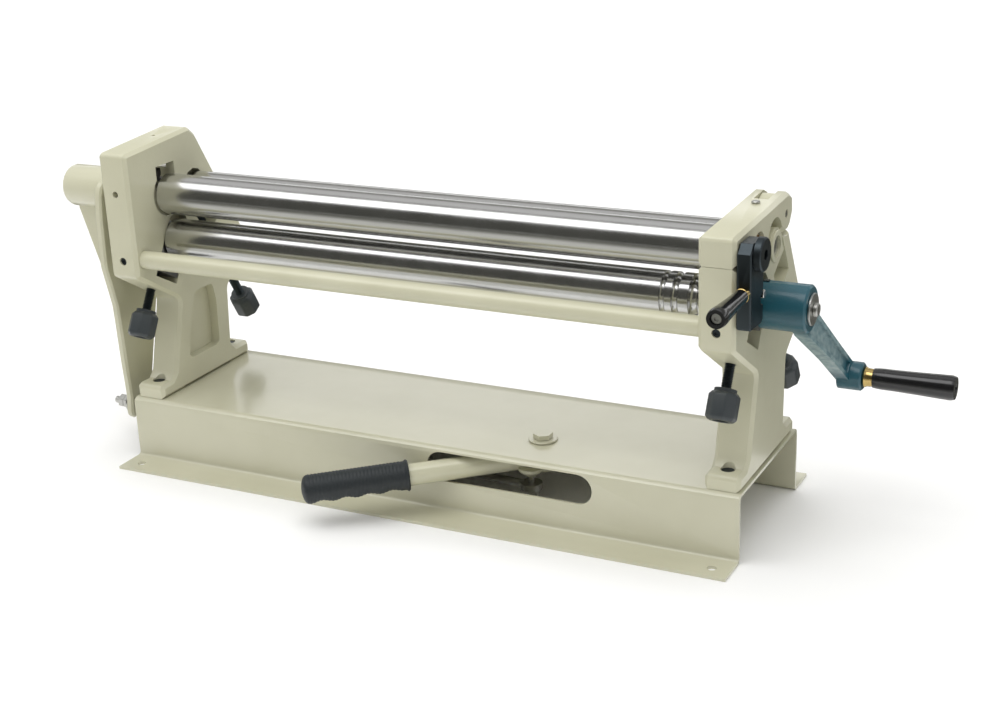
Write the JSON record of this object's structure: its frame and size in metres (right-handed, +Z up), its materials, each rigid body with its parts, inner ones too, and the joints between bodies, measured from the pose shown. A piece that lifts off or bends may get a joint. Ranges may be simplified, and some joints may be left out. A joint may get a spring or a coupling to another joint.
{
  "type": "bench slip roll",
  "caption": "Bench slip roll with three polished rolls between two cast heads on a folded sheet base, a side crank, four adjusting knobs and a release lever that tips the upper roll out.",
  "frame": {"origin": "middle of the front base flange's underside, on the bench", "axes": "+X along the rolls towards the crank, -Y to the operator, +Z up"},
  "size_m": [0.9351, 0.3091, 0.3494],
  "materials": {
    "cast_paint": "grey-beige machine paint on cast iron, satin",
    "base_paint": "grey-beige machine paint on folded sheet, satin",
    "polished_steel": "ground and polished steel",
    "block_steel": "machined steel, oiled",
    "gear_steel": "cut steel, greased",
    "black_steel": "black oxide",
    "knob_grey": "dark grey moulded",
    "crank_paint": "teal-blue paint, satin",
    "black_grip": "black, gloss",
    "black_rubber": "black, matte",
    "brass": "turned",
    "bronze": "turned bearing bronze",
    "zinc": "zinc plated"
  },
  "bodies": {
    "base": {"base_channel": "base_paint", "left_frame": "cast_paint", "right_frame": "cast_paint", "tie_bar": "cast_paint", "tie_bar_screw_left": "black_steel", "tie_bar_screw_right": "black_steel", "pad_bolt_left_front": "black_steel", "pad_bolt_left_rear": "black_steel", "pad_bolt_right_front": "black_steel", "pad_bolt_right_rear": "black_steel", "arm_pin_front": "polished_steel", "arm_pin_rear": "polished_steel", "keeper_pin": "polished_steel", "cap_hinge_pin": "polished_steel", "lever_pivot_bolt": "base_paint", "lever_washer": "base_paint", "lever_spacer": "zinc"},
    "lower_carriage": {"lower_block_left": "block_steel", "lower_block_right": "block_steel"},
    "lower_roll_set": {"lower_roll": "polished_steel", "lower_gear": "gear_steel", "crank_arm": "crank_paint", "crank_key": "black_steel", "crank_washer": "zinc", "crank_screw": "zinc", "crank_ferrule": "brass", "crank_grip_stud": "polished_steel"},
    "crank_grip": {"crank_grip": "black_grip"},
    "front_adjuster_left": {"front_screw_left": "black_steel", "front_knob_left": "knob_grey"},
    "front_adjuster_right": {"front_screw_right": "black_steel", "front_knob_right": "knob_grey"},
    "rear_carriage": {"rear_block_left": "block_steel", "rear_block_right": "block_steel"},
    "rear_roll": {"rear_roll": "polished_steel"},
    "rear_adjuster_left": {"rear_screw_left": "black_steel", "rear_knob_left": "knob_grey"},
    "rear_adjuster_right": {"rear_screw_right": "black_steel", "rear_knob_right": "knob_grey"},
    "release_arm": {"release_arm": "cast_paint", "upper_bush_left": "bronze", "upper_bush_right": "bronze"},
    "upper_roll_set": {"upper_roll": "polished_steel", "upper_gear": "gear_steel"},
    "bearing_cap": {"bearing_cap": "cast_paint", "cap_oil_plug": "zinc", "latch_pivot_screw": "black_steel"},
    "latch": {"latch_bar": "black_steel", "latch_ferrule": "brass", "latch_handle": "black_grip", "latch_handle_screw": "black_steel"},
    "release_lever": {"release_lever": "cast_paint", "lever_grip": "black_rubber", "link_pin": "polished_steel", "link_pin_nut": "zinc"},
    "link_rod": {"link_rod": "zinc", "rod_washer": "zinc", "rod_nut_inner": "zinc", "rod_nut_outer": "zinc"}
  },
  "joints": [
    {"name": "release_lever_swing", "type": "hinge", "parent": "base", "child": "release_lever", "pos_m": [0.1208, 0.0742, 0.052], "axis": [0, 0, 1], "range_deg": [0, 75]},
    {"name": "link_rod_swing", "type": "hinge", "parent": "release_lever", "child": "link_rod", "pos_m": [0.11464, 0.05729, 0.02575], "axis": [0, 0, 1], "range_deg": [-75, 0]},
    {"name": "release_arm_tilt", "type": "hinge", "parent": "base", "child": "release_arm", "pos_m": [-0.3255, 0.0684, 0.3007], "axis": [0, -1, 0], "range_deg": [0, 5.3]},
    {"name": "cap_hinge", "type": "hinge", "parent": "base", "child": "bearing_cap", "pos_m": [0.3255, 0.1496, 0.3017], "axis": [-1, 0, 0], "range_deg": [0, 65.1]},
    {"name": "latch_swing", "type": "hinge", "parent": "bearing_cap", "child": "latch", "pos_m": [0.3502, 0.0232, 0.3], "axis": [1, 0, 0], "range_deg": [-50, 7]},
    {"name": "lower_carriage_slide", "type": "slide", "parent": "base", "child": "lower_carriage", "axis": [0, 0.5, 0.866], "range_m": [-0.002, 0.01]},
    {"name": "crank_spin", "type": "hinge", "parent": "lower_carriage", "child": "lower_roll_set", "pos_m": [0, 0.0742, 0.2374], "axis": [1, 0, 0], "continuous": true},
    {"name": "upper_roll_spin", "type": "hinge", "parent": "release_arm", "child": "upper_roll_set", "pos_m": [0, 0.0684, 0.2882], "axis": [1, 0, 0], "continuous": true},
    {"name": "crank_grip_spin", "type": "hinge", "parent": "lower_roll_set", "child": "crank_grip", "pos_m": [0.4638, 0.17491, 0.14015], "axis": [1, 0, 0], "continuous": true},
    {"name": "front_knob_right_turn", "type": "hinge", "parent": "lower_carriage", "child": "front_adjuster_right", "pos_m": [0.3255, 0.0742, 0.2374], "axis": [0, 0.5, 0.866], "range_deg": [-481, 2401]},
    {"name": "front_knob_left_turn", "type": "hinge", "parent": "lower_carriage", "child": "front_adjuster_left", "pos_m": [-0.3255, 0.0742, 0.2374], "axis": [0, 0.5, 0.866], "range_deg": [-481, 2401]},
    {"name": "rear_carriage_slide", "type": "slide", "parent": "base", "child": "rear_carriage", "axis": [0, -0.5, 0.866], "range_m": [-0.025, 0.008]},
    {"name": "rear_roll_spin", "type": "hinge", "parent": "rear_carriage", "child": "rear_roll", "pos_m": [0, 0.1197, 0.2785], "axis": [1, 0, 0], "continuous": true},
    {"name": "rear_knob_right_turn", "type": "hinge", "parent": "rear_carriage", "child": "rear_adjuster_right", "pos_m": [0.3255, 0.1197, 0.2785], "axis": [0, -0.5, 0.866], "range_deg": [-6001, 1921]},
    {"name": "rear_knob_left_turn", "type": "hinge", "parent": "rear_carriage", "child": "rear_adjuster_left", "pos_m": [-0.3255, 0.1197, 0.2785], "axis": [0, -0.5, 0.866], "range_deg": [-6001, 1921]}
  ],
  "couplings": [
    {"joint": "link_rod_swing", "follows": "release_lever_swing", "ratio": -0.9896},
    {"joint": "release_arm_tilt", "follows": "release_lever_swing", "ratio": 0.0693},
    {"joint": "cap_hinge", "follows": "release_lever_swing", "ratio": 0.8667},
    {"joint": "upper_roll_spin", "follows": "crank_spin", "ratio": -1},
    {"joint": "front_knob_right_turn", "follows": "lower_carriage_slide", "rad_per_m": 4188.8},
    {"joint": "front_knob_left_turn", "follows": "lower_carriage_slide", "rad_per_m": 4188.8},
    {"joint": "rear_knob_right_turn", "follows": "rear_carriage_slide", "rad_per_m": 4188.8},
    {"joint": "rear_knob_left_turn", "follows": "rear_carriage_slide", "rad_per_m": 4188.8}
  ]
}
